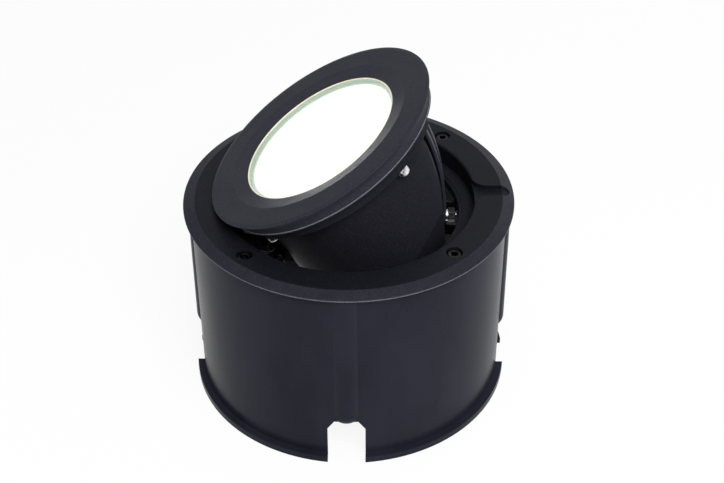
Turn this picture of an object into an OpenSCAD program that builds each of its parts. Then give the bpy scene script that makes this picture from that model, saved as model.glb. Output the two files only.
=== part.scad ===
// In-ground light. A sleeve stands in the ground, a ring turns on its lip, and a round lamp head
// swings up out of the ring on a hinge that lies under the ring, like a lid.
// Everything is drawn with the head closed, in a frame with z = 0 under the sleeve's foot, and
// the head's pieces are then swung about the hinge by the tilt.

/* [Cover ring] */
// Height of the ring's flat top above the foot of the sleeve
flush_h = 130.5; // [124:0.5:150]
// Diameter of the ring's opening
opening_d = 152; // [146:1:158]
// Rounding of the opening's upper edge
opening_round = 1.5; // [0.8:0.1:2]
// Width of the ring's thick body, from the opening to the sleeve's lip
body_w = 14.6; // [14.2:0.1:16]
// How far the ring reaches out past the sleeve
overhang = 4.2; // [3:0.1:6]
// Width of the bevel round the ring
bevel_w = 7.2; // [4:0.1:9]
// Drop of the bevel
bevel_h = 2.3; // [1:0.1:2.6]
// Thickness of the ring's outer edge
edge_t = 1.4; // [1:0.1:1.6]
// Thickness of the ring over the lip
plate_t = 4.3; // [4:0.1:5]
// Width of the slot for the lifting tool
tool_slot_w = 10.4; // [8:0.2:12]
// Depth of the slot for the lifting tool
tool_slot_depth = 3; // [2:0.1:3.2]
// Distance from the opening to the centre of the slot's round end
tool_slot_reach = 16; // [12:0.5:17]
// Radius of the slot's mouth
tool_mouth_r = 10; // [5:0.5:12]
// Distance from the opening to the screws' circle
screw_inset = 9; // [8.8:0.1:9.2]
// Number of screws
screw_count = 4; // [4:2:8]
// Counterbore over each screw
counterbore_d = 9.8; // [9.4:0.1:10]
// Depth of the counterbores
counterbore_depth = 6; // [5.4:0.1:6.5]

/* [Sleeve] */
// Thickness of the sleeve's wall
sleeve_wall = 2.5; // [2:0.1:2.8]
// Draft of the wall, on the radius
sleeve_draft = 0.7; // [0:0.1:1.2]
// Width of the lip that turns in at the top
lip_w = 5.2; // [4.8:0.1:6]
// Thickness of the lip
lip_t = 2.3; // [1.8:0.1:2.5]
// Width of the foot flange outside the wall
foot_w = 4.2; // [2:0.1:8]
// Thickness of the foot flange
foot_t = 4.3; // [3:0.1:6]
// Turn of the sleeve in the ground, seen from above
sleeve_turn = -1.8; // [-10:0.1:10]
// Width of each cable notch
notch_w = 22.8; // [18:0.2:28]
// Height of each cable notch
notch_h = 30.5; // [24:0.5:34]
// Cut corners of the notch, across
notch_cut_w = 4.2; // [0:0.1:6]
// Cut corners of the notch, up
notch_cut_h = 6.2; // [0:0.1:8]
// Width of each rib over a notch, at the wall
rib_w = 13.8; // [10:0.2:18]
// How far each rib stands out of the wall
rib_out = 3; // [1.5:0.1:4]
// Height at which the ribs start to round in
rib_foot_h = 36; // [34:1:44]

/* [Carrier ring] */
// Depth of the ledge below the ring's top
ledge_drop = 12; // [12:0.1:13]
// Width of the ledge that shows inside the opening
ledge_w = 9.5; // [8:0.1:10]
// Thickness of the carrier
carrier_t = 4.5; // [4:0.1:6]
// Depth of the carrier's skirt below its plate
skirt_h = 8; // [5:0.5:10]
// Width of the rubber seat on the ledge
seat_w = 4.8; // [3:0.1:5]
// Thickness of the rubber seat
seat_t = 1.6; // [1.2:0.1:2]

/* [Hinge and tilt] */
// Tilt of the head in this pose
tilt = 31; // [0:1:31]
// Greatest tilt
tilt_max = 31; // [31:0.5:33]
// Distance of the hinge axis behind the opening's edge
hinge_back = 8.8; // [8.4:0.1:9]
// Depth of the hinge axis below the ring's top
hinge_drop = 11.7; // [11.5:0.1:12]
// Diameter of the hinge pins
pin_d = 5; // [4:0.1:5.4]
// Radius of the knuckles round the pins
knuckle_r = 4.2; // [3.8:0.1:4.3]
// Thickness of each ear on the carrier
ear_t = 4.2; // [3:0.1:5]
// Distance from the middle to each ear's outer face
ear_y = 22.2; // [18:0.1:22.5]
// Thickness of each hinge arm
arm_t = 2.5; // [2:0.1:3]
// Width of each hinge arm
arm_w = 8.4; // [7:0.1:9]
// Distance of the tilt strut inside the ledge
strut_inset = 9.3; // [9.1:0.1:9.7]
// Thickness of the strut
strut_t = 1.6; // [1.2:0.1:2]
// Width of the strut
strut_w = 16; // [13:0.5:18]
// Width of the strut's slot
slot_w = 5.6; // [5.3:0.1:6]
// Room over the lock nut when the head is closed
lock_room = 0.4; // [0.3:0.1:1]
// Diameter of the lock bolt
lock_d = 5; // [4:0.1:5.2]
// Thickness of the folded keeper
keeper_t = 2; // [1.5:0.1:2.2]

/* [Lamp head] */
// Gap round the closed bezel
bezel_gap = 0.8; // [0.6:0.1:1]
// Height of the bezel
bezel_h = 11.4; // [10.6:0.1:11.4]
// Width of the bevel round the bezel's face
bezel_bevel_w = 2.2; // [1:0.1:3]
// Drop of the bevel round the bezel's face
bezel_bevel_h = 0.5; // [0.2:0.1:0.5]
// Depth of the bezel's cove behind the path of its outer edge
cove_in = 0.7; // [0.4:0.1:1.2]
// Height of the lip under the cove
rim_lip_h = 1.1; // [0.8:0.1:1.6]
// Width of the bezel's face, with its bevel
face_w = 15.7; // [12:0.1:18]
// Width of the sloping surface down to the glass
slope_w = 9.3; // [6:0.1:11]
// Drop of the sloping surface
slope_h = 1.8; // [1:0.1:2.2]
// Thickness of the glass
glass_t = 3.8; // [3:0.1:4.2]
// How far the glass reaches under the bezel's edge
glass_under = 2.3; // [1.5:0.1:3]
// Gap between the housing and the ledge's inner edge
housing_gap = 9.5; // [9:0.1:12]
// Depth of the housing's lower edge below the ring's top
housing_depth = 93.5; // [88:0.5:96]
// Thickness of the housing's round wall
housing_wall = 5; // [4.6:0.1:6]
// Thickness of the housing's upper flange
flange_t = 7.6; // [6.5:0.1:8]
// Depth of the lamp carrier's plate below the ring's top
lamp_drop = 22.5; // [22:0.5:25]
// Thickness of the lamp carrier's plate
lamp_plate_t = 10; // [9:0.5:12]
// Height of the cooling fins
fin_h = 18; // [8:1:22]
// Number of cooling fins
fin_count = 9; // [5:2:11]
// Thickness of the rear cover
cover_t = 3; // [2.5:0.1:4]
// Bore of the cable seal
cable_d = 8; // [6:0.5:10]
// Distance of the cable gland from the head's axis
gland_back = 8; // [4:1:10]

/* [Clearances] */
// Gap between faces that lie on each other but turn or slide apart
face_gap = 0.3; // [0.2:0.05:0.4]
// Radial clearance of the ring in the sleeve's lip
turn_gap = 0.08; // [0.05:0.01:0.1]
// Radial clearance of the arms on the pins
pin_gap = 0.05; // [0.02:0.01:0.1]
// Radial clearance of a fixed pin or screw in its hole
fix_gap = 0.02; // [0.01:0.01:0.05]
// Gap that the swinging head keeps from the ring
swing_gap = 0.35; // [0.2:0.05:0.5]

/* [Hidden] */
$fn = 96;
eps = 0.01;

// Radii that follow outwards from the opening
opening_r = opening_d / 2;
lip_r = opening_r + body_w;
sleeve_r = lip_r + lip_w;
ring_r = sleeve_r + overhang;
sleeve_in_r = sleeve_r - sleeve_wall;
foot_r = sleeve_r - sleeve_draft + foot_w;
screw_r = opening_r + screw_inset;
carrier_r = sleeve_in_r - 0.5;
ledge_r = opening_r - ledge_w;

// Levels that follow down from the ring's top
plate_z = flush_h - plate_t;
lip_z = plate_z - face_gap - lip_t;
ledge_z = flush_h - ledge_drop;
carrier_z = ledge_z - carrier_t;

// Hinge axis, which runs along Y
hinge_x = -(opening_r + hinge_back);
hinge_z = flush_h - hinge_drop;
hinge_room = 6.2;
knuckle_room = knuckle_r + 0.6;
arm_y = ear_y + face_gap;
pin_end_y = arm_y + arm_t + 1.2;
slot_end_y = pin_end_y + 0.8;

// Screws and their sockets
m5_d = 5;
m5_head_d = 8.5;
m5_head_h = 5;
m5_socket = 4;
m4_d = 4;
m4_head_d = 7;
m4_socket = 3;
m3_d = 3;
m3_head_d = 5.5;
m3_head_h = 3;
m3_socket = 2.5;
carrier_screw_d = 2.5;
carrier_head_d = 4.5;
carrier_head_h = 2.5;
carrier_socket = 2;
cover_screw_l = 16;
bezel_head_d = 8;

// Bezel: its outer edge just clears the opening's rounded corner as the head swings, and the cove
// below the edge is an arc about the hinge, so that it keeps clear of that corner all the way
bezel_r = opening_r - bezel_gap;
rim_z = flush_h - bezel_h;
corner_reach = norm([hinge_back - opening_round, hinge_drop - opening_round]) + opening_round;
swing_r = corner_reach + swing_gap;
edge_up = sqrt(swing_r * swing_r - pow(hinge_back + bezel_gap, 2));
rim_r = -hinge_x - swing_r;
cove_r = swing_r + cove_in;
lip_top_z = rim_z + rim_lip_h;
face_in_r = bezel_r - face_w;
glass_edge_r = face_in_r - slope_w;
glass_edge_t = 1;
glass_r = glass_edge_r + glass_under;
lens_bore_r = glass_r + 0.5;
glass_top = flush_h - slope_h - glass_edge_t;
glass_z = glass_top - glass_t;

// Housing, which has to pass the ledge's opening as it swings
sweep_r = ledge_r - 1;
housing_r = ledge_r - housing_gap;
housing_z = flush_h - housing_depth;
cavity_r = housing_r - housing_wall;
flange_r = ledge_r - 1;
flange_z = rim_z - flange_t;
strut_r = ledge_r - hinge_x - strut_inset;
body_swing_r = strut_r - 0.6;
mouth_r = cavity_r - 4.1;
mouth_z = rim_z - 4.3;
bezel_screw_r = (housing_r + flange_r) / 2;
bezel_screw_turn = 45;

// Strut, keeper and lock
strut_out_r = strut_r + strut_t;
strut_foot_z = rim_z - strut_t;
nut_af = 8;
nut_t = 4.4;
lock_z = strut_foot_z - lock_room - nut_af / 2 / cos(30);
lock_up = lock_z - hinge_z;
lock_angle = asin(lock_up / strut_r);
slot_low_angle = lock_angle - tilt_max - 1;
slot_high_angle = lock_angle + 0.8;
strut_foot_l = 8.4;
strut_foot_w = 28;
strut_screw_x = hinge_x + strut_out_r + 3.2;
strut_screw_y = 10.5;
keeper_top = strut_foot_z - 0.7;
keeper_low = lock_z - 4.5;
keeper_reach = sqrt(pow(strut_r - 0.35, 2) - pow(keeper_low - hinge_z, 2));
keeper_x = hinge_x + keeper_reach - keeper_t;
keeper_w = strut_w + 2 * (keeper_t + 2.5);
lock_head_t = 2.7;
lock_head_d = 8;
lock_head_x = keeper_x - lock_head_t;
washer_x = hinge_x + strut_out_r + face_gap;
washer_t = 1.3;
washer_d = 7.4;
nut_x = washer_x + washer_t;
channel_w = keeper_w + 2;
channel_r = lock_head_x - hinge_x - 0.5;
channel_top_angle = asin((keeper_top + 0.7 - hinge_z) / strut_r);
cavity_swing_r = channel_r - 3;
foot_screw_x = ledge_r + 8.6;
foot_screw_y = keeper_w / 2 + 4;

// Lamp inside the head
lamp_plate_top = flush_h - lamp_drop;
lamp_plate_z = lamp_plate_top - lamp_plate_t;
carrier_screw_r = cavity_r - 2.5;
carrier_rim_top = mouth_z - 0.1;
board_t = 1.6;
board_r = mouth_r - 4;
chip_w = 5;
chip_t = 1;
diffuser_t = 3;
reflector_t = 0.7;
diffuser_z = rim_z + reflector_t;

// Rear of the head
gasket_t = 1;
gasket_z = housing_z - gasket_t;
cover_z = gasket_z - cover_t;
rear_screw_r = housing_r - housing_wall / 2;
rear_screw_turns = [105, 142.5, 180, 217.5, 255];
rear_boss_x = hinge_x + sqrt(pow(body_swing_r, 2) - pow(hinge_z - cover_z, 2)) - 4.6;
rear_boss_y = 22;
rear_boss_h = 8.5;
driver_l = 64;
driver_w = 52;
driver_h = 28;
driver_x = -10;
driver_z = cover_z + cover_t + 10;
post_x = hinge_x + sqrt(pow(cavity_swing_r - 1, 2) - pow(hinge_z - cover_z, 2)) - 5;
post_pitch = 44;
post_y = 22;
gland_x = -gland_back;
gland_thread_d = 20;
gland_af = 24;
gland_collar_d = 18;
vent_x = -40;
vent_thread_d = 10;

metal_black = [0.12, 0.12, 0.13];
plastic_black = [0.2, 0.22, 0.25];
steel = [0.75, 0.76, 0.78];
rubber_black = [0.06, 0.06, 0.06];
alloy = [0.8, 0.81, 0.82];

// Points of an arc, from angle a0 to a1
function arc(c, r, a0, a1, n = 8) =
    [for (i = [0 : n]) c + r * [cos(a0 + (a1 - a0) * i / n), sin(a0 + (a1 - a0) * i / n)]];

// Swings the closed head into its pose
module in_head() {
    translate([hinge_x, 0, hinge_z]) rotate([0, -tilt, 0]) translate([-hinge_x, 0, -hinge_z]) children();
}

// Band about the hinge axis, w wide, between two radii and two angles above the horizontal
module hinge_band(r_in, r_out, w, a0, a1) {
    translate([hinge_x, 0, hinge_z]) rotate([90, 0, 0]) rotate([0, 0, a0])
        rotate_extrude(angle = a1 - a0, $fn = 240)
            translate([r_in, -w / 2]) square([r_out - r_in, w]);
}

// Whole cylinder about the hinge axis
module hinge_drum(r) {
    translate([hinge_x, 0, hinge_z]) rotate([90, 0, 0]) cylinder(r = r, h = 400, center = true, $fn = 240);
}

// Ring about the hinge axis that passes through the ledge's opening, less a margin
module opening_sweep(margin) {
    translate([hinge_x, 0, hinge_z]) rotate([90, 0, 0]) rotate_extrude($fn = 240)
        translate([-hinge_x, 0]) circle(r = sweep_r - margin, $fn = 180);
}

// Round bar along the radius at one angle about the hinge
module hinge_spoke(r_in, r_out, d, a) {
    translate([hinge_x, 0, hinge_z]) rotate([0, -a, 0]) translate([r_in, 0, 0]) rotate([0, 90, 0])
        cylinder(d = d, h = r_out - r_in);
}

// Plate that lies in the XZ plane, from y0 outwards
module side_plate(y0, t) {
    translate([0, y0 + t, 0]) rotate([90, 0, 0]) linear_extrude(t) children();
}

// The same on both sides of the hinge's middle plane
module both_sides() {
    for (s = [0, 1]) mirror([0, s, 0]) children();
}

// Flat link with round ends between two points
module link2d(p, q, w) {
    along = (q - p) / norm(q - p);
    side = [-along[1], along[0]] * w / 2;
    translate(p) circle(d = w);
    translate(q) circle(d = w);
    polygon([p + side, q + side, q - side, p - side]);
}

// Cap screw that points down, its head's underside at z = 0
module cap_screw(d, l, head_d, head_h, socket) {
    difference() {
        union() {
            cylinder(d = head_d, h = head_h, $fn = 48);
            translate([0, 0, -l]) cylinder(d = d, h = l + eps, $fn = 48);
        }
        translate([0, 0, head_h - socket * 0.6])
            cylinder(d = socket / cos(30), h = socket, $fn = 6);
    }
}

module at_cover_screws() {
    for (i = [0 : screw_count - 1])
        rotate([0, 0, 180 / screw_count + i * 360 / screw_count]) translate([screw_r, 0, 0]) children();
}

module at_bezel_screws() {
    for (i = [0 : 3]) rotate([0, 0, bezel_screw_turn + i * 90]) translate([bezel_screw_r, 0, 0]) children();
}

module at_carrier_screws() {
    for (i = [0 : 3]) rotate([0, 0, 45 + i * 90]) translate([carrier_screw_r, 0, 0]) children();
}

module at_rear_screws() {
    for (a = rear_screw_turns) rotate([0, 0, a]) translate([rear_screw_r, 0, 0]) children();
    both_sides() translate([rear_boss_x, rear_boss_y, 0]) children();
}

module at_posts() {
    for (x = [post_x - post_pitch, post_x], y = [-post_y, post_y]) translate([x, y, 0]) children();
}

// Shape that the head's body fills, cut to an arc about the hinge, less a margin
module head_form(margin, z0, z1) {
    intersection() {
        translate([0, 0, z0]) cylinder(r = housing_r - margin, h = z1 - z0, $fn = 180);
        hinge_drum(body_swing_r - margin);
        opening_sweep(margin);
    }
}

// Room inside the housing, less a margin
module cavity_form(margin, z0, z1) {
    intersection() {
        translate([0, 0, z0]) cylinder(r = cavity_r - margin, h = z1 - z0, $fn = 180);
        hinge_drum(cavity_swing_r - margin);
        opening_sweep(housing_wall + margin);
    }
}

// Way for the strut and its keeper through the head's body, grown by a margin
module strut_channel(margin) {
    hinge_band(channel_r - margin, strut_out_r + 12, channel_w + 2 * margin, -50, channel_top_angle);
}

module notch_profile() {
    low = -1;
    straight = notch_h - notch_cut_h;
    polygon([[-notch_w / 2, low], [notch_w / 2, low], [notch_w / 2, straight],
        [notch_w / 2 - notch_cut_w, notch_h], [-notch_w / 2 + notch_cut_w, notch_h],
        [-notch_w / 2, straight]]);
}

// Rib over a notch: a half-round bar that rounds in towards the wall at its foot
module rib_bar(r, x, top) {
    translate([x, 0, rib_foot_h]) cylinder(r = r, h = top - rib_foot_h, $fn = 64);
    translate([x, 0, rib_foot_h]) sphere(r = r, $fn = 64);
}

module mounting_sleeve() color(plastic_black) {
    lip_top = lip_z + lip_t;
    low_r = sleeve_r - sleeve_draft;
    rib_r = (pow(rib_w / 2, 2) + rib_out * rib_out) / (2 * rib_out);
    rib_x = sleeve_r - sleeve_draft / 2 + rib_out - rib_r;
    groove_top = carrier_z - skirt_h - 4;
    rotate([0, 0, sleeve_turn]) difference() {
        union() {
            rotate_extrude($fn = 180) polygon([[low_r - sleeve_wall, 0], [foot_r, 0], [foot_r, foot_t],
                [low_r, foot_t], [sleeve_r, lip_top], [lip_r, lip_top], [lip_r, lip_z],
                [sleeve_in_r, lip_z]]);
            for (a = [0 : 90 : 270]) rotate([0, 0, a]) difference() {
                rib_bar(rib_r, rib_x, lip_top);
                cylinder(r = sleeve_r - sleeve_wall / 2, h = 3 * flush_h, center = true, $fn = 180);
            }
        }
        for (a = [0 : 90 : 270]) rotate([0, 0, a]) {
            translate([sleeve_in_r - 12, 0, 0]) rotate([90, 0, 90]) linear_extrude(30) notch_profile();
            rib_bar(rib_r - sleeve_wall, rib_x, groove_top);
        }
    }
}

module tool_slot_profile() {
    reach = opening_r + tool_slot_reach;
    half = tool_slot_w / 2;
    round_c = [sqrt(pow(opening_r + tool_mouth_r, 2) - pow(half + tool_mouth_r, 2)), half + tool_mouth_r];
    wall_touch = round_c * opening_r / (opening_r + tool_mouth_r);
    translate([ledge_r, -half]) square([reach - ledge_r, tool_slot_w]);
    translate([reach, 0]) circle(d = tool_slot_w, $fn = 64);
    for (s = [-1, 1]) scale([1, s]) difference() {
        polygon([[ledge_r, 0], [round_c[0], 0], round_c, wall_touch, [ledge_r, wall_touch[1]]]);
        translate(round_c) circle(r = tool_mouth_r, $fn = 96);
    }
}

module cover_ring() color(metal_black) {
    body_r = lip_r - turn_gap;
    body_z = ledge_z + face_gap;
    flat_r = ring_r - bevel_w;
    soft = 0.5;
    difference() {
        rotate_extrude($fn = 180) polygon(concat(
            [[opening_r, body_z], [body_r, body_z], [body_r, plate_z],
                [ring_r - 0.8, plate_z + 0.4], [ring_r, flush_h - bevel_h - edge_t + 0.4],
                [ring_r, flush_h - bevel_h - soft], [ring_r - soft, flush_h - bevel_h],
                [flat_r, flush_h]],
            arc([opening_r + opening_round, flush_h - opening_round], opening_round, 90, 180)));
        at_cover_screws() {
            translate([0, 0, flush_h - counterbore_depth]) cylinder(d = counterbore_d, h = 20, $fn = 64);
            cylinder(r = m5_d / 2 + 0.25, h = flush_h, $fn = 48);
        }
        translate([0, 0, flush_h - tool_slot_depth]) linear_extrude(20) tool_slot_profile();
        translate([hinge_x - hinge_room, -slot_end_y, 0])
            cube([hinge_room - hinge_x - ledge_r, 2 * slot_end_y, hinge_z + knuckle_room]);
    }
}

module cover_screws() color(steel) {
    at_cover_screws() translate([0, 0, flush_h - counterbore_depth])
        cap_screw(m5_d, cover_screw_l, m5_head_d, m5_head_h, m5_socket);
}

// Room for the hinge arms in the carrier's plate, which the skirt below bridges
module arm_slots() {
    both_sides() translate([hinge_x - knuckle_room, ear_y, carrier_z - 0.2])
        cube([-hinge_x - ledge_r + knuckle_room + 10, slot_end_y - ear_y, flush_h]);
}

module carrier_ring() color(metal_black) {
    upstand_r = lip_r + face_gap;
    upstand_top = lip_z - face_gap;
    boss_h = 7;
    boss_r = 5.5;
    seat_r = ledge_r + 2.3;
    difference() {
        union() {
            difference() {
                rotate_extrude($fn = 180) polygon([[ledge_r, carrier_z], [carrier_r - sleeve_wall, carrier_z],
                    [carrier_r - sleeve_wall, carrier_z - skirt_h], [carrier_r, carrier_z - skirt_h],
                    [carrier_r, upstand_top], [upstand_r, upstand_top], [upstand_r, ledge_z],
                    [ledge_r + 0.5, ledge_z], [ledge_r, ledge_z - 0.5]]);
                translate([0, 0, ledge_z - seat_t + face_gap]) rotate_extrude($fn = 180)
                    translate([seat_r, 0]) square([seat_w, seat_t]);
                translate([hinge_x - 12, -slot_end_y, ledge_z]) cube([26, 2 * slot_end_y, 20]);
                arm_slots();
            }
            at_cover_screws() translate([0, 0, carrier_z - boss_h])
                cylinder(r = boss_r, h = boss_h + eps, $fn = 48);
            both_sides() side_plate(ear_y - ear_t, ear_t) {
                translate([hinge_x, hinge_z]) circle(r = knuckle_r);
                translate([hinge_x - knuckle_r, carrier_z]) square([2 * knuckle_r, hinge_z - carrier_z]);
            }
        }
        at_cover_screws() cylinder(r = m5_d / 2 + fix_gap, h = flush_h, $fn = 48);
        both_sides() translate([foot_screw_x, foot_screw_y, carrier_z - eps])
            cylinder(r = m4_d / 2 + fix_gap, h = carrier_t - 0.8, $fn = 48);
        both_sides() translate([hinge_x, ear_y - ear_t - 0.2, hinge_z]) rotate([-90, 0, 0])
            cylinder(r = pin_d / 2 + fix_gap, h = ear_t + 8, $fn = 48);
    }
}

module seat_gasket() color(rubber_black) {
    seat_r = ledge_r + 2.3;
    difference() {
        translate([0, 0, ledge_z - seat_t + face_gap]) rotate_extrude($fn = 180)
            translate([seat_r + fix_gap, fix_gap]) square([seat_w - 2 * fix_gap, seat_t]);
        translate([hinge_x - 12, -slot_end_y - 0.5, 0]) cube([40, 2 * slot_end_y + 1, flush_h]);
    }
}

module hinge_pins() color(steel) {
    both_sides() translate([hinge_x, ear_y - ear_t, hinge_z]) rotate([-90, 0, 0])
        cylinder(d = pin_d, h = pin_end_y - ear_y + ear_t, $fn = 48);
}

// Folded keeper: a plate behind the strut, two cheeks that pass its edges, and two feet
module lock_bracket() color(steel) {
    foot_x = foot_screw_x + 5;
    cheek_y = keeper_w / 2 - keeper_t;
    difference() {
        union() {
            translate([keeper_x, -keeper_w / 2, keeper_low])
                cube([keeper_t, keeper_w, keeper_top - keeper_low]);
            both_sides() {
                side_plate(cheek_y, keeper_t) polygon([[keeper_x, keeper_low], [keeper_x, keeper_top],
                    [keeper_x + 2.5, keeper_top], [keeper_x + 4.5, keeper_top - 2.2],
                    [ledge_r - 1, carrier_z], [foot_x, carrier_z],
                    [foot_x, carrier_z - keeper_t], [ledge_r - 3, carrier_z - 7],
                    [keeper_x + 4, carrier_z - 7]]);
                translate([foot_screw_x - 5, cheek_y, carrier_z - keeper_t])
                    cube([10, foot_screw_y - cheek_y + 4.5, keeper_t]);
            }
        }
        translate([keeper_x - 1, 0, lock_z]) rotate([0, 90, 0])
            cylinder(r = lock_d / 2 + fix_gap, h = 10, $fn = 48);
        both_sides() translate([foot_screw_x, foot_screw_y, 0])
            cylinder(r = m4_d / 2 + 0.2, h = flush_h, $fn = 48);
    }
}

module bracket_screws() color(steel) {
    both_sides() translate([foot_screw_x, foot_screw_y, carrier_z - keeper_t]) mirror([0, 0, 1])
        cap_screw(m4_d, keeper_t + carrier_t - 1.2, m4_head_d, 2.6, m4_socket);
}

module lock_bolt() color(steel) {
    bolt_end = nut_x + nut_t + 1;
    translate([lock_head_x, 0, lock_z]) rotate([0, 90, 0]) {
        cylinder(d = lock_head_d, h = lock_head_t, $fn = 48);
        cylinder(d = lock_d, h = bolt_end - lock_head_x, $fn = 48);
    }
}

module lock_washer() color(steel) {
    translate([washer_x, 0, lock_z]) rotate([0, 90, 0]) difference() {
        cylinder(d = washer_d, h = washer_t, $fn = 64);
        translate([0, 0, -1]) cylinder(r = lock_d / 2 + fix_gap, h = 4, $fn = 48);
    }
}

module lock_nut() color(steel) {
    translate([nut_x, 0, lock_z]) rotate([0, 90, 0]) difference() {
        cylinder(d = nut_af / cos(30), h = nut_t, $fn = 6);
        translate([0, 0, -1]) cylinder(r = lock_d / 2 + fix_gap, h = nut_t + 2, $fn = 48);
    }
}

module bezel() color(metal_black) in_head() {
    soft = 0.3;
    hole_h = 5.5;
    difference() {
        rotate_extrude($fn = 180) polygon(concat(
            [[lens_bore_r, rim_z], [rim_r - soft, rim_z], [rim_r, rim_z + soft],
                [rim_r, lip_top_z - soft], [rim_r - soft, lip_top_z]],
            arc([-hinge_x, hinge_z], cove_r, 180 - asin((lip_top_z + 0.1 - hinge_z) / cove_r),
                180 - asin(edge_up / cove_r), 12),
            [[bezel_r, hinge_z + edge_up], [bezel_r, flush_h - bezel_bevel_h],
                [bezel_r - bezel_bevel_w, flush_h], [face_in_r, flush_h],
                [glass_edge_r, flush_h - slope_h], [glass_edge_r, glass_top],
                [lens_bore_r, glass_top]]));
        at_bezel_screws() translate([0, 0, rim_z - eps])
            cylinder(r = m5_d / 2 + fix_gap, h = hole_h, $fn = 48);
        both_sides() translate([strut_screw_x, strut_screw_y, rim_z - eps])
            cylinder(r = m3_d / 2 + fix_gap, h = hole_h, $fn = 48);
    }
}

module bezel_screws() color(steel) in_head() {
    at_bezel_screws() translate([0, 0, flange_z]) mirror([0, 0, 1])
        cap_screw(m5_d, flange_t + 5, bezel_head_d, m5_head_h, m5_socket);
}

module glass_lens() color([0.8, 0.9, 0.86, 0.5]) in_head() {
    soft = 0.4;
    rotate_extrude($fn = 180) polygon([[0, glass_z], [glass_r - soft, glass_z], [glass_r, glass_z + soft],
        [glass_r, glass_top - soft], [glass_r - soft, glass_top], [0, glass_top]]);
}

module lens_gasket() color(rubber_black) in_head() {
    gasket_w = glass_under + 0.2;
    rotate_extrude($fn = 180) translate([lens_bore_r - 0.1 - gasket_w, rim_z])
        square([gasket_w, glass_z - rim_z]);
}

module diffuser() color([1, 0.97, 0.9]) in_head() {
    translate([0, 0, diffuser_z]) cylinder(r = glass_edge_r - 0.2, h = diffuser_t, $fn = 180);
}

module reflector() color(alloy) in_head() {
    low_r = board_r - 6;
    low_z = lamp_plate_top + board_t + chip_t + 0.5;
    up_r = mouth_r - 1.4;
    rotate_extrude($fn = 180) polygon([[low_r, low_z], [low_r + 0.8, low_z], [up_r + 0.8, rim_z],
        [glass_edge_r - 0.2, rim_z], [glass_edge_r - 0.2, diffuser_z], [up_r, diffuser_z]]);
}

module led_board() color([0.9, 0.9, 0.88]) in_head() {
    translate([0, 0, lamp_plate_top]) cylinder(r = board_r, h = board_t);
}

module led_chips() color([0.95, 0.9, 0.6]) in_head() {
    translate([0, 0, lamp_plate_top + board_t + chip_t / 2]) {
        cube([chip_w, chip_w, chip_t], center = true);
        for (a = [0 : 45 : 315]) rotate([0, 0, a]) translate([board_r * 0.6, 0, 0])
            cube([chip_w, chip_w, chip_t], center = true);
    }
}

module lamp_carrier() color(alloy) in_head() {
    fin_t = 2;
    boss_r = 2.4;
    pitch = 2 * cavity_r / (fin_count + 1);
    difference() {
        intersection() {
            cavity_form(2, lamp_plate_z - fin_h, lamp_plate_z + eps);
            for (i = [-(fin_count - 1) / 2 : (fin_count - 1) / 2])
                translate([0, i * pitch, lamp_plate_z]) cube([2 * cavity_r, fin_t, 2 * fin_h], center = true);
        }
        at_carrier_screws() cylinder(r = carrier_head_d / 2 + 0.3, h = flush_h, $fn = 48);
    }
    difference() {
        cavity_form(0.1, lamp_plate_z, carrier_rim_top);
        difference() {
            translate([0, 0, lamp_plate_top]) cylinder(r = mouth_r + 0.3, h = flush_h, $fn = 180);
            at_carrier_screws() cylinder(r = boss_r, h = flush_h, $fn = 48);
        }
        at_carrier_screws() cylinder(r = carrier_screw_d / 2 + 0.1, h = flush_h, $fn = 48);
    }
}

module carrier_screws() color(steel) in_head() {
    at_carrier_screws() translate([0, 0, lamp_plate_z]) mirror([0, 0, 1])
        cap_screw(carrier_screw_d, mouth_z + 3.3 - lamp_plate_z, carrier_head_d, carrier_head_h, carrier_socket);
}

module hinge_lug() {
    side_plate(ear_y - 6.2 + face_gap, 6.2) polygon([[hinge_x + 22.6, hinge_z - 23],
        [hinge_x + 40, hinge_z - 10], [hinge_x + 40, hinge_z - 50], [hinge_x + 22.6, hinge_z - 42]]);
}

module head_housing() color(metal_black) in_head() {
    difference() {
        union() {
            head_form(0, housing_z, rim_z);
            translate([0, 0, flange_z]) cylinder(r = flange_r, h = flange_t, $fn = 180);
            both_sides() hinge_lug();
        }
        difference() {
            cavity_form(0, housing_z - 1, mouth_z);
            both_sides() translate([rear_boss_x, rear_boss_y, housing_z - 2]) {
                cylinder(r = 4, h = rear_boss_h + 2, $fn = 48);
                translate([0, -4, 0]) cube([20, 8, rear_boss_h + 2]);
            }
        }
        translate([0, 0, mouth_z - 1]) cylinder(r = mouth_r, h = 10, $fn = 180);
        strut_channel(0);
        translate([hinge_x + body_swing_r, -strut_foot_w / 2 - 0.5, flange_z - 1])
            cube([20, strut_foot_w + 1, flange_t + 2]);
        at_bezel_screws() translate([0, 0, flange_z - 1])
            cylinder(r = m5_d / 2 + 0.2, h = flange_t + 2, $fn = 48);
        at_bezel_screws() translate([0, 0, flange_z - 10])
            cylinder(r = bezel_head_d / 2 + 0.2, h = 10, $fn = 48);
        at_carrier_screws() translate([0, 0, mouth_z - eps])
            cylinder(r = carrier_screw_d / 2 + fix_gap, h = 3.7, $fn = 48);
        at_rear_screws() translate([0, 0, housing_z - 1])
            cylinder(r = m3_d / 2 + fix_gap, h = rear_boss_h, $fn = 48);
        both_sides() for (p = arm_holes)
            translate([p[0], 0, p[1]]) rotate([-90, 0, 0]) translate([0, 0, ear_y - 6.2])
                cylinder(r = m4_d / 2 + fix_gap, h = 10, $fn = 48);
    }
}

arm_out = 26.8;
arm_down = 27;
arm_tail = 11;
arm_elbow = [hinge_x + arm_out, hinge_z - arm_down];
arm_end = arm_elbow - [0, arm_tail];
arm_holes = [arm_elbow, arm_end];

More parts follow.
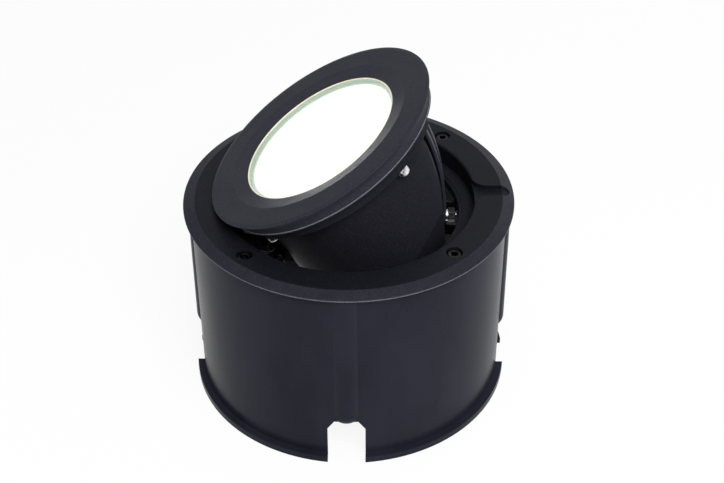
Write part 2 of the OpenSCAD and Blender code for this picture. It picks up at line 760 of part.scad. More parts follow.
module hinge_arms() color(steel) in_head() {
    both_sides() side_plate(arm_y, arm_t) difference() {
        union() {
            link2d([hinge_x, hinge_z], arm_elbow, arm_w);
            link2d(arm_elbow, arm_end, arm_w);
        }
        translate([hinge_x, hinge_z]) circle(r = pin_d / 2 + pin_gap);
        for (p = arm_holes) translate(p) circle(r = m4_d / 2 + 0.2);
    }
}

module arm_screws() color(steel) in_head() {
    both_sides() for (p = arm_holes)
        translate([p[0], arm_y + arm_t, p[1]]) rotate([-90, 0, 0])
            cap_screw(m4_d, arm_t + 5.5, m4_head_d, 2.2, 2.5);
}

// Slotted strip that bends round the hinge, with a foot that turns out under the bezel
module tilt_strut() color(metal_black) in_head() {
    foot_x = hinge_x + strut_r + strut_t / 2;
    end_round_d = strut_w + 0.4;
    slot_round_d = slot_w - 0.1;
    difference() {
        union() {
            hinge_band(strut_r, strut_out_r, strut_w, slot_low_angle - 8, 2);
            intersection() {
                translate([foot_x, -strut_foot_w / 2, strut_foot_z])
                    cube([strut_foot_l, strut_foot_w, strut_t]);
                cylinder(r = flange_r, h = flush_h, $fn = 180);
            }
        }
        translate([hinge_x, -50, rim_z]) cube([300, 100, 50]);
        difference() {
            translate([hinge_x, 0, hinge_z]) rotate([0, -slot_low_angle, 0])
                translate([strut_r - 10, -strut_w, -3 * strut_w]) cube([20, 2 * strut_w, 3 * strut_w]);
            hinge_spoke(strut_r - 12, strut_out_r + 12, end_round_d, slot_low_angle);
        }
        hinge_band(strut_r - 2, strut_out_r + 2, slot_w, slot_low_angle, slot_high_angle);
        for (a = [slot_low_angle, slot_high_angle])
            hinge_spoke(strut_r - 5, strut_out_r + 3, slot_round_d, a);
        both_sides() translate([strut_screw_x, strut_screw_y, 0])
            cylinder(r = m3_d / 2 + 0.2, h = flush_h, $fn = 48);
    }
}

module strut_screws() color(steel) in_head() {
    both_sides() translate([strut_screw_x, strut_screw_y, strut_foot_z]) mirror([0, 0, 1])
        cap_screw(m3_d, strut_t + 5, m3_head_d, 1.9, 2);
}

module driver_module() color([0.85, 0.85, 0.83]) in_head() {
    translate([driver_x - driver_l / 2, -driver_w / 2, driver_z]) cube([driver_l, driver_w, driver_h]);
}

module rear_gasket() color(rubber_black) in_head() {
    difference() {
        head_form(0.5, gasket_z, housing_z);
        cavity_form(0.8, gasket_z - 1, housing_z + 1);
        strut_channel(0.5);
        at_rear_screws() cylinder(r = m3_d / 2 + 0.2, h = flush_h, $fn = 48);
    }
}

module rear_cover() color(metal_black) in_head() {
    difference() {
        union() {
            head_form(0.5, cover_z, gasket_z);
            at_posts() translate([0, 0, gasket_z - eps])
                cylinder(r = 4, h = driver_z - gasket_z + eps, $fn = 48);
        }
        strut_channel(0.5);
        at_rear_screws() cylinder(r = m3_d / 2 + 0.2, h = flush_h, $fn = 48);
        translate([gland_x, 0, cover_z - 1]) cylinder(r = gland_thread_d / 2 + 0.2, h = 10, $fn = 64);
        translate([vent_x, 0, cover_z - 1]) cylinder(r = vent_thread_d / 2 + fix_gap, h = 10, $fn = 48);
    }
}

module rear_screws() color(steel) in_head() {
    at_rear_screws() translate([0, 0, cover_z]) mirror([0, 0, 1])
        cap_screw(m3_d, cover_t + gasket_t + 6, m3_head_d, m3_head_h, m3_socket);
}

gland_hex_h = 6;
gland_collar_h = 8;
gland_thread_h = 8;
gland_locknut_af = 26;
gland_locknut_h = 4;
gland_low = cover_z - gland_hex_h;
collar_low = gland_low - gland_collar_h;
seal_low = collar_low - 1.5;
seal_d = 15;

module gland_body() color([0.1, 0.1, 0.1]) in_head() {
    translate([gland_x, 0, 0]) difference() {
        union() {
            translate([0, 0, gland_low]) cylinder(d = gland_af / cos(30), h = gland_hex_h, $fn = 6);
            translate([0, 0, cover_z - eps]) cylinder(d = gland_thread_d, h = gland_thread_h, $fn = 64);
            translate([0, 0, collar_low]) cylinder(d = gland_collar_d, h = gland_collar_h + eps, $fn = 64);
        }
        translate([0, 0, collar_low - 1]) cylinder(d = seal_d + 0.1, h = gland_collar_h + 4, $fn = 64);
        translate([0, 0, collar_low - 1]) cylinder(d = cable_d + 3, h = 40, $fn = 64);
    }
}

module gland_locknut() color([0.1, 0.1, 0.1]) in_head() {
    translate([gland_x, 0, gasket_z]) difference() {
        cylinder(d = gland_locknut_af / cos(30), h = gland_locknut_h, $fn = 6);
        translate([0, 0, -1])
            cylinder(r = gland_thread_d / 2 + fix_gap, h = gland_locknut_h + 2, $fn = 64);
    }
}

module gland_seal() color(rubber_black) in_head() {
    translate([gland_x, 0, seal_low]) difference() {
        cylinder(d = seal_d, h = gland_collar_h + 4, $fn = 64);
        translate([0, 0, -1]) cylinder(d = cable_d, h = 20, $fn = 64);
    }
}

module gland_nut() color([0.1, 0.1, 0.1]) in_head() {
    nut_top = gland_low - 0.3;
    hex_low = collar_low - 2;
    nose_low = hex_low - 5;
    translate([gland_x, 0, 0]) difference() {
        union() {
            translate([0, 0, hex_low]) cylinder(d = gland_af / cos(30), h = nut_top - hex_low, $fn = 6);
            translate([0, 0, nose_low]) rotate_extrude($fn = 64)
                polygon([[0, 0], [8.2, 0], [10.4, 2], [11.4, 5 + eps], [0, 5 + eps]]);
        }
        translate([0, 0, seal_low]) cylinder(r = gland_collar_d / 2 + fix_gap, h = 20, $fn = 64);
        translate([0, 0, nose_low - 1]) cylinder(d = cable_d + 1, h = 20, $fn = 64);
    }
}

module vent_plug() color([0.1, 0.1, 0.1]) in_head() {
    translate([vent_x, 0, 0]) {
        translate([0, 0, cover_z - 4]) cylinder(d = 14 / cos(30), h = 4, $fn = 6);
        translate([0, 0, cover_z - eps]) cylinder(d = vent_thread_d, h = 7, $fn = 48);
    }
}

mounting_sleeve();
cover_ring();
cover_screws();
carrier_ring();
seat_gasket();
hinge_pins();
lock_bracket();
bracket_screws();
lock_bolt();
lock_washer();
lock_nut();
bezel();
bezel_screws();
glass_lens();
lens_gasket();
diffuser();
reflector();
led_board();
led_chips();
lamp_carrier();
carrier_screws();
head_housing();
hinge_arms();
arm_screws();
tilt_strut();
strut_screws();
driver_module();
rear_gasket();
rear_cover();
rear_screws();
gland_body();
gland_locknut();
gland_seal();
gland_nut();
vent_plug();
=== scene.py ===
import math
from collections import namedtuple

import bmesh
import bpy
from mathutils import Matrix, Vector


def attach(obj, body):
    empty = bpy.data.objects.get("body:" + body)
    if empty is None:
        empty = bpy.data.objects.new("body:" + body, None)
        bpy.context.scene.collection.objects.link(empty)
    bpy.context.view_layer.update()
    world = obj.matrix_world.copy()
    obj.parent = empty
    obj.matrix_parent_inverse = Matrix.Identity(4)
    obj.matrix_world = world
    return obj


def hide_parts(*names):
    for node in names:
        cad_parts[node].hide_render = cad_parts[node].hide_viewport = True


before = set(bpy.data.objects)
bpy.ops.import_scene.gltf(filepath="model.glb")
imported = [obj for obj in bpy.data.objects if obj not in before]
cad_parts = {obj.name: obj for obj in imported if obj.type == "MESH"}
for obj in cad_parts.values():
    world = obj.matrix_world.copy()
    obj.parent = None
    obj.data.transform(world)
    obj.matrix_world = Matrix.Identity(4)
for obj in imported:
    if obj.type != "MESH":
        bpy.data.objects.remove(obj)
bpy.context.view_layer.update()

MM = 0.001
TAU = 2 * math.pi

# Sizes and places that part.scad gives, in millimetres. Those of the head are for its closed pose.
TILT = 31
HINGE = Vector((-84.8, 0, 118.8))
COVER_SCREW_R = 85
COVER_SEAT_Z = 124.5
BRACKET_SCREW_X = 75.1
BRACKET_SCREW_Y = 16.5
BRACKET_SEAT_Z = 112
BEZEL_SCREW_R = 61.25
BEZEL_SEAT_Z = 111.5
CARRIER_SCREW_R = 49.5
CARRIER_SEAT_Z = 98
ARM_SCREW_X = -58
ARM_SCREW_HEIGHTS = (91.8, 80.8)
ARM_SEAT_Y = 25
STRUT_SCREW_X = 62
STRUT_SCREW_Y = 10.5
STRUT_SEAT_Z = 117.5
REAR_SCREW_R = 54.5
REAR_SCREW_ANGLES = (105, 142.5, 180, 217.5, 255)
REAR_PAIR_X = 23
REAR_PAIR_Y = 22
REAR_SEAT_Z = 33
LOCK_Z = 112.48
BOLT_R = 2.5
BOLT_HEAD_R = 4
BOLT_HEAD_START = 51.74
BOLT_HEAD_END = 54.44
BOLT_END = 65.8
NUT_ACROSS = 8
NUT_START = 60.4
NUT_END = 64.8
GLASS_OPENING_R = 50.2
GLASS_TOP = 127.7
GASKET_IN_R = 50.4
DIFFUSER_TOP = 122.8

# From the closed head to its place in the rest pose
HEAD = (Matrix.Translation(HINGE)
        @ Matrix.Rotation(-math.radians(TILT), 4, "Y")
        @ Matrix.Translation(-HINGE))
UPSIDE_DOWN = Matrix.Rotation(math.pi, 4, "X")


# Materials

class Paint:
    """A node material around one Principled shader, textured in object space."""

    def __init__(self, name, colour, rough, metal=0.0, specular=0.5):
        self.mat = bpy.data.materials.new(name)
        self.mat.use_nodes = True
        self.mat.diffuse_color = (*colour, 1)
        self.tree = self.mat.node_tree
        self.shader = self.tree.nodes["Principled BSDF"]
        self.set("Base Color", (*colour, 1))
        self.set("Roughness", rough)
        self.set("Metallic", metal)
        self.set("Specular IOR Level", specular)
        self.coord = self.tree.nodes.new("ShaderNodeTexCoord").outputs["Object"]

    def set(self, socket, value):
        self.shader.inputs[socket].default_value = value

    def link(self, a, b):
        self.tree.links.new(a, b)

    def noise(self, scale, detail, stretch=(1, 1, 1)):
        place = self.tree.nodes.new("ShaderNodeMapping")
        place.inputs["Scale"].default_value = stretch
        self.link(self.coord, place.inputs["Vector"])
        tex = self.tree.nodes.new("ShaderNodeTexNoise")
        tex.inputs["Scale"].default_value = scale
        tex.inputs["Detail"].default_value = detail
        tex.inputs["Roughness"].default_value = 0.55
        self.link(place.outputs["Vector"], tex.inputs["Vector"])
        return tex.outputs["Fac"]

    def spread(self, value, low, high, out_low, out_high):
        """Maps a value from one range to another, and holds it at the ends."""
        node = self.tree.nodes.new("ShaderNodeMapRange")
        limits = {"From Min": low, "From Max": high, "To Min": out_low, "To Max": out_high}
        for key, number in limits.items():
            node.inputs[key].default_value = number
        self.link(value, node.inputs["Value"])
        return node.outputs["Result"]

    def tones(self, value, dark, light, low=0.35, high=0.65):
        """Colour from dark to light as the value goes from low to high."""
        ramp = self.tree.nodes.new("ShaderNodeValToRGB")
        first, last = ramp.color_ramp.elements
        first.position = low
        first.color = (*dark, 1)
        last.position = high
        last.color = (*light, 1)
        self.link(value, ramp.inputs["Fac"])
        return ramp.outputs["Color"]

    def mixed(self, share, a, b):
        """Colour a where the share is 0, and b where it is 1."""
        node = self.tree.nodes.new("ShaderNodeMix")
        node.data_type = "RGBA"
        self.link(share, node.inputs["Factor"])
        self.link(a, node.inputs["A"])
        self.link(b, node.inputs["B"])
        return node.outputs["Result"]

    def calculate(self, operation, *values):
        node = self.tree.nodes.new("ShaderNodeMath")
        node.operation = operation
        for socket, value in zip(node.inputs, values):
            self.link(value, socket)
        return node.outputs[0]

    def product(self, a, b):
        return self.calculate("MULTIPLY", a, b)

    def window(self, value, low, high):
        """1 between two lengths in mm, with soft ends."""
        soft = 0.15
        rise = self.spread(value, (low - soft) * MM, (low + soft) * MM, 0, 1)
        fall = self.spread(value, (high - soft) * MM, (high + soft) * MM, 1, 0)
        return self.product(rise, fall)

    def round_place(self, on_head):
        """Distance from the axis and height, about the ring's axis or the closed head's."""
        place = self.tree.nodes.new("ShaderNodeMapping")
        if on_head:
            back = HEAD.inverted()
            place.inputs["Rotation"].default_value = back.to_euler()
            place.inputs["Location"].default_value = MM * back.translation
        self.link(self.coord, place.inputs["Vector"])
        split = self.tree.nodes.new("ShaderNodeSeparateXYZ")
        self.link(place.outputs["Vector"], split.inputs[0])
        x, y, z = split.outputs
        squares = self.calculate("ADD", self.product(x, x), self.product(y, y))
        return self.calculate("SQRT", squares), z

    def colour_from(self, socket):
        self.link(socket, self.shader.inputs["Base Color"])

    def rough_from(self, value, low, high):
        self.link(self.spread(value, 0.3, 0.7, low, high), self.shader.inputs["Roughness"])

    def bump(self, value, strength, depth, edge=0.0):
        """Skin relief of a depth in mm, over edges that look rounded by a radius in mm."""
        node = self.tree.nodes.new("ShaderNodeBump")
        node.inputs["Strength"].default_value = strength
        node.inputs["Distance"].default_value = depth * MM
        self.link(value, node.inputs["Height"])
        if edge:
            soft = self.tree.nodes.new("ShaderNodeBevel")
            soft.samples = 6
            soft.inputs["Radius"].default_value = edge * MM
            self.link(soft.outputs["Normal"], node.inputs["Normal"])
        self.link(node.outputs["Normal"], self.shader.inputs["Normal"])


# A painted highlight on a round piece: a paler band from one radius to another and one height to
# another, in mm, and its tone
PaintedHighlight = namedtuple("PaintedHighlight", "r0 r1 z0 z1 tone")


def powder_coat(name, dark, light, specular, painted_highlights=(), on_head=False):
    """Matt black powder coat: a fine grain of raised specks, with painted highlights, which are
    paler bands where light catches an edge or bevel.
    """
    speck_low = 0.42
    speck_high = 0.72
    speck_gain = 1.8
    p = Paint(name, dark, 0.46, specular=specular)
    specks = p.noise(1500, 2)
    colour = p.tones(specks, dark, light, speck_low, speck_high)
    patches = p.noise(120, 3)
    # Painted highlights: each band is a paler tone of the specks, standing in for light caught on
    # an edge or bevel
    for zone in painted_highlights:
        radius, height = p.round_place(on_head)
        inside = p.product(p.window(radius, zone.r0, zone.r1), p.window(height, zone.z0, zone.z1))
        share = p.product(inside, p.spread(patches, 0.3, 0.7, 0.7, 1.0))
        lighter = tuple(speck_gain * c for c in zone.tone)
        colour = p.mixed(share, colour, p.tones(specks, zone.tone, lighter, speck_low, speck_high))
    p.colour_from(colour)
    p.rough_from(p.noise(45, 3), 0.41, 0.52)
    p.bump(specks, 0.3, 0.1, 0.35)
    return p.mat


def moulded_plastic(name, dark, light, rough, specular, stretch=(1, 1, 1)):
    """Satin moulded plastic, with faint flow marks and a fine skin."""
    p = Paint(name, dark, rough, specular=specular)
    flow = p.noise(22, 4, stretch)
    p.colour_from(p.tones(flow, dark, light))
    p.rough_from(flow, rough - 0.05, rough + 0.05)
    p.bump(p.noise(900, 2), 0.15, 0.05, 0.3)
    return p.mat


def metal(name, dark, light, rough, scale=500):
    """Plain metal with fine tooling marks."""
    p = Paint(name, light, rough, metal=1.0)
    marks = p.noise(scale, 3)
    p.colour_from(p.tones(marks, dark, light))
    p.rough_from(marks, rough - 0.06, rough + 0.08)
    p.bump(marks, 0.1, 0.03)
    return p.mat


def black_rubber():
    """Dull moulded rubber."""
    dark = (0.0045, 0.0047, 0.0065)
    p = Paint("rubber", dark, 0.7, specular=0.1)
    skin = p.noise(700, 3)
    p.colour_from(p.tones(skin, dark, (0.009, 0.0093, 0.0125)))
    p.rough_from(skin, 0.62, 0.8)
    p.bump(skin, 0.2, 0.06)
    return p.mat


def clear_glass():
    """Slightly green toughened glass, with a trace of handling marks in its gloss."""
    p = Paint("clear_glass", (0.93, 0.98, 0.95), 0.02)
    p.set("Transmission Weight", 1.0)
    p.set("IOR", 1.5)
    p.rough_from(p.noise(30, 3), 0.0, 0.04)
    return p.mat


def lit_opal():
    """Lit opal plate: a warm white that yellows a little towards the rim."""
    rim_start = 25
    rim_end = 48
    p = Paint("lit_opal", (0.5, 0.5, 0.46), 0.5)
    cloud = p.noise(18, 2)
    middle = p.tones(cloud, (0.9, 0.91, 0.82), (0.96, 0.96, 0.91), 0.3, 0.6)
    rim = p.tones(cloud, (0.76, 0.77, 0.65), (0.8, 0.8, 0.7), 0.3, 0.6)
    radius, _ = p.round_place(True)
    share = p.spread(radius, rim_start * MM, rim_end * MM, 0, 1)
    p.link(p.mixed(share, middle, rim), p.shader.inputs["Emission Color"])
    p.set("Emission Strength", 1.0)
    return p.mat


def painted_glow(name, dark, light, lit, scale=60):
    """A pale material with a painted glow: it emits a little light of its own, standing in for the
    lamp's light that reaches it through the glass.
    """
    p = Paint(name, dark, 0.4)
    p.colour_from(p.tones(p.noise(scale, 3), dark, light))
    p.set("Emission Color", (*lit, 1))
    p.set("Emission Strength", 1.0)
    return p.mat


BLACK = (0.0042, 0.0044, 0.0066)
BLACK_SPECKS = (0.011, 0.0113, 0.016)
# Painted sheen: the ring's bevel is a little paler all round, for the light it catches
RING_BEVEL_SHEEN = PaintedHighlight(93, 101, 124, 131, (0.0138, 0.0142, 0.02))
# Painted highlight: a thin bright line along the ring's lower edge
RING_EDGE_HIGHLIGHT = PaintedHighlight(99.75, 101, 127, 127.8, (0.1, 0.102, 0.125))
# Painted highlight: a thin bright line along the bezel's lip
BEZEL_LIP_HIGHLIGHT = PaintedHighlight(69.9, 70.9, 119.95, 120.3, (0.15, 0.15, 0.17))

COAT = powder_coat("black_coat", BLACK, BLACK_SPECKS, 0.06)
RING_COAT = powder_coat("ring_coat", BLACK, BLACK_SPECKS, 0.06, [RING_BEVEL_SHEEN, RING_EDGE_HIGHLIGHT])
# The bezel and strut get a paler copy of the black coat: painted light, for the light these parts
# catch
BEZEL_COAT = powder_coat(
    "bezel_coat", (0.019, 0.0195, 0.0268), (0.035, 0.036, 0.0475), 0.045, [BEZEL_LIP_HIGHLIGHT], True)
HOUSING_COAT = powder_coat("housing_coat", (0.0076, 0.0078, 0.0108), (0.016, 0.0163, 0.0222), 0.035)
SLEEVE = moulded_plastic(
    "sleeve_plastic", (0.0118, 0.0125, 0.0195), (0.0172, 0.0181, 0.028), 0.28, 0.055, (1, 1, 0.5))
FITTING = moulded_plastic("fitting_plastic", (0.012, 0.012, 0.013), (0.02, 0.02, 0.021), 0.45, 0.4)
CASE = moulded_plastic("driver_case", (0.6, 0.6, 0.57), (0.7, 0.7, 0.67), 0.5, 0.4)
BOARD = moulded_plastic("board_white", (0.8, 0.81, 0.79), (0.87, 0.88, 0.86), 0.4, 0.4)
PHOSPHOR = moulded_plastic("phosphor", (0.85, 0.66, 0.2), (0.95, 0.78, 0.3), 0.4, 0.4)
STEEL = metal("steel", (0.32, 0.32, 0.33), (0.5, 0.5, 0.51), 0.3)
BRIGHT = metal("bright_steel", (0.1, 0.1, 0.1), (0.85, 0.85, 0.84), 0.2, scale=380)
DARK_STEEL = metal("dark_steel", (0.01, 0.01, 0.012), (0.026, 0.026, 0.03), 0.34)
ALLOY = metal("bright_alloy", (0.75, 0.76, 0.77), (0.88, 0.89, 0.9), 0.2)
CAST = metal("plain_alloy", (0.45, 0.46, 0.47), (0.6, 0.61, 0.62), 0.45, scale=250)
# Painted glow: the gasket and the sealant bead emit a little light, for the lamp's light that
# reaches them through the glass
SILICONE = painted_glow("pale_silicone", (0.2, 0.23, 0.2), (0.26, 0.3, 0.26), (0.34, 0.41, 0.35))
SEALANT = painted_glow("sealant", (0.3, 0.28, 0.22), (0.42, 0.4, 0.32), (0.42, 0.39, 0.3), scale=200)

FINISH = {
    RING_COAT: ["cover_ring"],
    COAT: ["carrier_ring", "rear_cover"],
    BEZEL_COAT: ["bezel", "tilt_strut"],
    HOUSING_COAT: ["head_housing"],
    SLEEVE: ["mounting_sleeve"],
    FITTING: ["gland_body", "gland_locknut", "gland_nut", "vent_plug"],
    STEEL: ["hinge_pins", "lock_washer"],
    DARK_STEEL: ["lock_bracket", "hinge_arms"],
    black_rubber(): ["seat_gasket", "rear_gasket", "gland_seal"],
    SILICONE: ["lens_gasket"],
    clear_glass(): ["glass_lens"],
    lit_opal(): ["diffuser"],
    ALLOY: ["reflector"],
    CAST: ["lamp_carrier"],
    BOARD: ["led_board"],
    PHOSPHOR: ["led_chips"],
    CASE: ["driver_module"],
}
for finish, names in FINISH.items():
    for name in names:
        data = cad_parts[name].data
        data.materials.clear()
        data.materials.append(finish)


# Meshes, in mm

SIDES = 48
BAND_SIDES = 240
SHARP_ANGLE = math.radians(35)


def circle(r, z, n=SIDES, knurl=0.0):
    """Points of a circle. Every second one lies further in, by the depth of the knurling."""
    out = []
    for i in range(n):
        a = TAU * i / n
        reach = r - knurl * (i % 2)
        out.append((reach * math.cos(a), reach * math.sin(a), z))
    return out


def hexagon(across, z, corner_r=math.inf):
    """Points of a hexagon, with its corners turned down to a radius."""
    sixth = math.pi / 3
    out = []
    for i in range(SIDES):
        a = TAU * i / SIDES
        from_flat = (a + sixth / 2) % sixth - sixth / 2
        r = min(across / 2 / math.cos(from_flat), corner_r)
        out.append((r * math.cos(a), r * math.sin(a), z))
    return out


def ring_mesh(bm, place, rings, capped=True):
    """Skins a stack of rings that have the same number of points, in a place's frame."""
    made = [[bm.verts.new(MM * (place @ Vector(p))) for p in ring] for ring in rings]
    for low, high in zip(made, made[1:]):
        for i in range(len(low)):
            j = (i + 1) % len(low)
            bm.faces.new((low[i], low[j], high[j], high[i]))
    if capped:
        bm.faces.new(list(reversed(made[0])))
        bm.faces.new(made[-1])
    else:
        bmesh.ops.remove_doubles(bm, verts=bm.verts, dist=1e-7)


def piece(name, bm, material, body, nodes=()):
    """Makes an object of the mesh, in the row frame, and hangs it on its body."""
    bmesh.ops.recalc_face_normals(bm, faces=bm.faces)
    mesh = bpy.data.meshes.new(name)
    bm.to_mesh(mesh)
    bm.free()
    mesh.shade_smooth()
    mesh.set_sharp_from_angle(angle=SHARP_ANGLE)
    mesh.materials.append(material)
    obj = bpy.data.objects.new(name, mesh)
    bpy.context.scene.collection.objects.link(obj)
    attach(obj, body)
    if nodes:
        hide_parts(*nodes)


# Screws

Screw = namedtuple("Screw", "shank_d length head_d head_h socket")


def cap_screw(bm, place, screw):
    """Socket cap screw: head with a turned top edge, and a broached socket. It points down."""
    knurl_depth = 0.12
    low_head_h = 2.5
    tip = 0.4
    foot = 0.25
    knurl_end = 0.7
    turned_edge = ((0.12, 0.6), (0.3, 0.15), (0.55, 0.0))
    chamfer = 0.15
    chamfer_depth = 0.2
    drill_r = 0.3
    socket_share = 0.6
    shank = screw.shank_d / 2
    head = screw.head_d / 2
    top = screw.head_h
    socket_floor = top - socket_share * screw.socket
    knurl = knurl_depth if top > low_head_h else 0.0
    ring_mesh(bm, place, [
        circle(shank - tip, -screw.length),
        circle(shank, tip - screw.length),
        circle(shank, 0.0),
        circle(head - foot, 0.0),
        circle(head, foot, knurl=knurl),
        circle(head, top - knurl_end, knurl=knurl),
        *(circle(head - inward, top - down) for inward, down in turned_edge),
        circle(screw.socket / 2 / math.cos(math.pi / 6) + chamfer, top),
        hexagon(screw.socket, top - chamfer_depth),
        hexagon(screw.socket, socket_floor),
        circle(drill_r, socket_floor - chamfer)])


def on_circle(angle, radius, z):
    return Matrix.Rotation(math.radians(angle), 4, "Z") @ Matrix.Translation((radius, 0, z))


def quarters(radius, z):
    """Four places a quarter turn apart, starting at 45 degrees."""
    return [on_circle(45 + 90 * i, radius, z) for i in range(4)]


def pair(x, y, z):
    """Two places that mirror each other across the plane of the tilt."""
    return [Matrix.Translation((x, side * y, z)) for side in (1, -1)]


def from_below(places):
    return [place @ UPSIDE_DOWN for place in places]


def arm_places():
    """Places on the outer faces of the two hinge arms, pointing inward."""
    out = []
    for z in ARM_SCREW_HEIGHTS:
        for side in (1, -1):
            turn = Matrix.Rotation(-side * math.pi / 2, 4, "X")
            out.append(Matrix.Translation((ARM_SCREW_X, side * ARM_SEAT_Y, z)) @ turn)
    return out


def rear_places():
    """Places round the rear cover's rim, and the pair on its two inner bosses."""
    round_rim = [on_circle(a, REAR_SCREW_R, REAR_SEAT_Z) for a in REAR_SCREW_ANGLES]
    return from_below(round_rim + pair(REAR_PAIR_X, REAR_PAIR_Y, REAR_SEAT_Z))


SCREWS = [
    ("cover_screws", DARK_STEEL, "turret", Screw(5, 16, 8.5, 5, 4),
     quarters(COVER_SCREW_R, COVER_SEAT_Z)),
    ("bracket_screws", DARK_STEEL, "turret", Screw(4, 5.3, 7, 2.6, 3),
     from_below(pair(BRACKET_SCREW_X, BRACKET_SCREW_Y, BRACKET_SEAT_Z))),
    ("bezel_screws", BRIGHT, "head", Screw(5, 12.6, 8, 5, 4),
     from_below(quarters(BEZEL_SCREW_R, BEZEL_SEAT_Z))),
    ("carrier_screws", STEEL, "head", Screw(2.5, 20.1, 4.5, 2.5, 2),
     from_below(quarters(CARRIER_SCREW_R, CARRIER_SEAT_Z))),
    ("arm_screws", DARK_STEEL, "head", Screw(4, 8, 7, 2.2, 2.5), arm_places()),
    ("strut_screws", STEEL, "head", Screw(3, 6.6, 5.5, 1.9, 2),
     from_below(pair(STRUT_SCREW_X, STRUT_SCREW_Y, STRUT_SEAT_Z))),
    ("rear_screws", STEEL, "head", Screw(3, 10, 5.5, 3, 2.5), rear_places()),
]


def build_screws():
    for node, finish, body, screw, places in SCREWS:
        bm = bmesh.new()
        for place in places:
            cap_screw(bm, HEAD @ place if body == "head" else place, screw)
        piece(node + "_fine", bm, finish, body, [node])


# Lock: a bolt and its nut, along +X

LOCK = Matrix.Translation((0, 0, LOCK_Z)) @ Matrix.Rotation(math.pi / 2, 4, "Y")


def threaded(bm, place, radius, start, end):
    """Rod with a real helical thread and chamfered ends, along the place's z."""
    pitch = 0.8
    depth = 0.42
    steps = 8
    end_depth = 0.5
    end_length = 0.25
    count = int((end - start) / (pitch / steps))
    rings = [circle(radius - end_depth, start)]
    for k in range(count + 1):
        z = start + end_length + (end - start - 2 * end_length) * k / count
        ring = []
        for i in range(SIDES):
            phase = (z / pitch - i / SIDES) % 1.0
            r = radius - depth * abs(2 * phase - 1)
            ring.append((r * math.cos(TAU * i / SIDES), r * math.sin(TAU * i / SIDES), z))
        rings.append(ring)
    rings.append(circle(radius - end_depth, end))
    ring_mesh(bm, place, rings)


def build_lock_bolt():
    """Flat head with both edges turned, plain shank, and thread to the end."""
    front_inward = 0.6
    front_down = 0.5
    back_inward = 0.3
    back_down = 0.4
    shank_end = 58.9
    thread_start = 58.5
    bm = bmesh.new()
    ring_mesh(bm, LOCK, [
        circle(BOLT_HEAD_R - front_inward, BOLT_HEAD_START),
        circle(BOLT_HEAD_R, BOLT_HEAD_START + front_down),
        circle(BOLT_HEAD_R, BOLT_HEAD_END - back_down),
        circle(BOLT_HEAD_R - back_inward, BOLT_HEAD_END),
        circle(BOLT_R, BOLT_HEAD_END),
        circle(BOLT_R, shank_end)])
    threaded(bm, LOCK, BOLT_R, thread_start, BOLT_END)
    piece("lock_bolt_fine", bm, STEEL, "turret", ["lock_bolt"])


def build_lock_nut():
    """Hexagon nut whose corners are turned down at 30 degrees on both faces."""
    bore_r = BOLT_R + 0.02
    face_r = 3.85
    step = 0.1
    steps = 5
    slope = 1 / math.tan(math.radians(30))
    corner = [(NUT_START + step * k, face_r + step * k * slope) for k in range(steps)]
    mirrored = [(NUT_START + NUT_END - x, r) for x, r in reversed(corner)]
    sides = [hexagon(NUT_ACROSS, x, r) for x, r in corner + mirrored]
    bore_start = circle(bore_r, NUT_START)
    bore_end = circle(bore_r, NUT_END)
    bm = bmesh.new()
    ring_mesh(bm, LOCK, [bore_end, bore_start, *sides, bore_end], capped=False)
    piece("lock_nut_fine", bm, DARK_STEEL, "turret", ["lock_nut"])


# Rings at the glass

def rounded(r0, r1, z0, z1, soft):
    """Closed rectangle of (radius, height) points, with soft corners."""
    steps = 4
    corners = (
        (r1 - soft, z0 + soft, -90), (r1 - soft, z1 - soft, 0),
        (r0 + soft, z1 - soft, 90), (r0 + soft, z0 + soft, 180))
    out = []
    for r, z, start in corners:
        for k in range(steps + 1):
            a = math.radians(start + 90 * k / steps)
            out.append((r + soft * math.cos(a), z + soft * math.sin(a)))
    return out


def band(name, material, profile):
    """Ring of one closed profile, about the head's axis."""
    bm = bmesh.new()
    rings = [circle(r, z, BAND_SIDES) for r, z in profile]
    ring_mesh(bm, HEAD, rings + [rings[0]], capped=False)
    piece(name, bm, material, "head")


def build_glass_bead():
    """Bead of sealant that shows round the glass, in the bezel's opening."""
    width = 0.7
    height = 0.9
    r = GLASS_OPENING_R - 0.05
    z = GLASS_TOP + 0.02
    band("glass_bead", SEALANT, rounded(r - width, r, z, z + height, 0.25))


def build_gasket_lip():
    """The gasket's inner lip, which lies on the diffuser's rim under the glass."""
    width = 2.65
    height = 0.76
    r = GASKET_IN_R - 0.05
    z = DIFFUSER_TOP + 0.04
    band("gasket_lip", SILICONE, rounded(r - width, r, z, z + height, 0.3))


# Floor, light and camera, in metres

WHITE = (1, 1, 1, 1)
ROOM_GREY = (0.31, 0.31, 0.32, 1)
FLOOR_WHITE = (0.88, 0.88, 0.88, 1)
FLOOR_R = 4
FLOOR_Z = -0.0003
FLOOR_SHOWS_WHITE = 0.9

# Name, place, width and power of each lamp. All of them point at AIM.
LAMPS = [
    ("front", (0.2, -0.9, 1.2), 0.7, 18.6),
    ("overhead", (0.05, 0, 1.3), 0.6, 2.1),
    ("back_right", (0.8, 1.0, 0.5), 0.7, 2.7),
    ("front_right", (0.8, -0.8, 0.7), 0.6, 2.1),
]
AIM = Vector((0, 0, 0.1))
GLOW_W = 0.098
GLOW_POWER = 0.4
GLOW_PLACE = Vector((0, 0, 128.5))

# The photo's camera, fitted to the edges of the object
PHOTO_W_PX = 724
FOCAL_PX = 1503.17
SENSOR_W = 36
CAMERA_PLACE = (0, -0.73715, 0.66247)
CAMERA_RIGHT = Vector((0.99990, -0.013504, -0.003620))
CAMERA_UP = Vector((0.011123, 0.611514, 0.791156))
CAMERA_BACK = Vector((-0.008470, -0.791119, 0.611604))


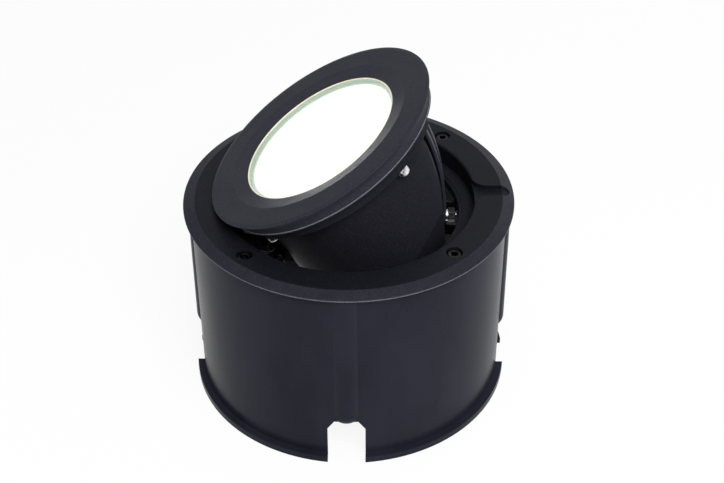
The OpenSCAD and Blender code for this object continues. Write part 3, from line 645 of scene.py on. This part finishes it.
def light_path(tree):
    """1 for the rays that show the background: camera, glossy and transmission rays."""
    node = tree.nodes.new("ShaderNodeLightPath")
    total = node.outputs["Is Camera Ray"]
    for key in ("Is Glossy Ray", "Is Transmission Ray"):
        either = tree.nodes.new("ShaderNodeMath")
        either.operation = "MAXIMUM"
        tree.links.new(total, either.inputs[0])
        tree.links.new(node.outputs[key], either.inputs[1])
        total = either.outputs[0]
    return total


def build_world():
    """White to the rays that show it, and a soft grey to the rest."""
    world = bpy.data.worlds.new("studio")
    bpy.context.scene.world = world
    world.use_nodes = True
    tree = world.node_tree
    back = tree.nodes["Background"]
    back.inputs["Strength"].default_value = 1.0
    mix = tree.nodes.new("ShaderNodeMix")
    mix.data_type = "RGBA"
    mix.inputs["A"].default_value = ROOM_GREY
    mix.inputs["B"].default_value = WHITE
    tree.links.new(light_path(tree), mix.inputs["Factor"])
    tree.links.new(mix.outputs["Result"], back.inputs["Color"])


def floor_material():
    """Matt white. Rays that show it see mostly plain white, and a share of its light and shadow."""
    mat = bpy.data.materials.new("floor_white")
    mat.use_nodes = True
    tree = mat.node_tree
    plain = tree.nodes["Principled BSDF"]
    plain.inputs["Base Color"].default_value = FLOOR_WHITE
    plain.inputs["Roughness"].default_value = 0.9
    white = tree.nodes.new("ShaderNodeEmission")
    share = tree.nodes.new("ShaderNodeMath")
    share.operation = "MULTIPLY"
    share.inputs[1].default_value = FLOOR_SHOWS_WHITE
    mix = tree.nodes.new("ShaderNodeMixShader")
    tree.links.new(light_path(tree), share.inputs[0])
    tree.links.new(share.outputs[0], mix.inputs["Fac"])
    tree.links.new(plain.outputs[0], mix.inputs[1])
    tree.links.new(white.outputs[0], mix.inputs[2])
    tree.links.new(mix.outputs[0], tree.nodes["Material Output"].inputs["Surface"])
    return mat


def build_floor():
    bpy.ops.mesh.primitive_circle_add(
        vertices=96, radius=FLOOR_R, fill_type="NGON", location=(0, 0, FLOOR_Z))
    floor = bpy.context.object
    floor.name = "floor"
    floor.data.materials.append(floor_material())


def area_lamp(name, width, power):
    data = bpy.data.lights.new(name, "AREA")
    data.shape = "DISK"
    data.size = width
    data.energy = power
    lamp = bpy.data.objects.new(name, data)
    bpy.context.scene.collection.objects.link(lamp)
    return lamp


def build_lamps():
    for name, place, width, power in LAMPS:
        lamp = area_lamp(name, width, power)
        lamp.location = place
        lamp.rotation_euler = (AIM - lamp.location).to_track_quat("-Z", "Y").to_euler()


def build_glow():
    """What the lit glass sheds on the cone round it. It moves with the head."""
    lamp = area_lamp("glow", GLOW_W, GLOW_POWER)
    facing = (HEAD @ UPSIDE_DOWN).to_quaternion()
    lamp.matrix_world = Matrix.LocRotScale(MM * (HEAD @ GLOW_PLACE), facing, None)
    lamp.visible_camera = False
    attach(lamp, "head")


def build_camera():
    data = bpy.data.cameras.new("camera")
    data.sensor_width = SENSOR_W
    data.sensor_fit = "HORIZONTAL"
    data.lens = FOCAL_PX * SENSOR_W / PHOTO_W_PX
    data.clip_start = 0.01
    camera = bpy.data.objects.new("camera", data)
    bpy.context.scene.collection.objects.link(camera)
    axes = Matrix((CAMERA_RIGHT, CAMERA_UP, CAMERA_BACK)).transposed().to_4x4()
    camera.matrix_world = Matrix.Translation(CAMERA_PLACE) @ axes
    bpy.context.scene.camera = camera


build_screws()
build_lock_bolt()
build_lock_nut()
build_glass_bead()
build_gasket_lip()
build_world()
build_floor()
build_lamps()
build_glow()
build_camera()
bpy.context.scene.view_settings.view_transform = "Standard"
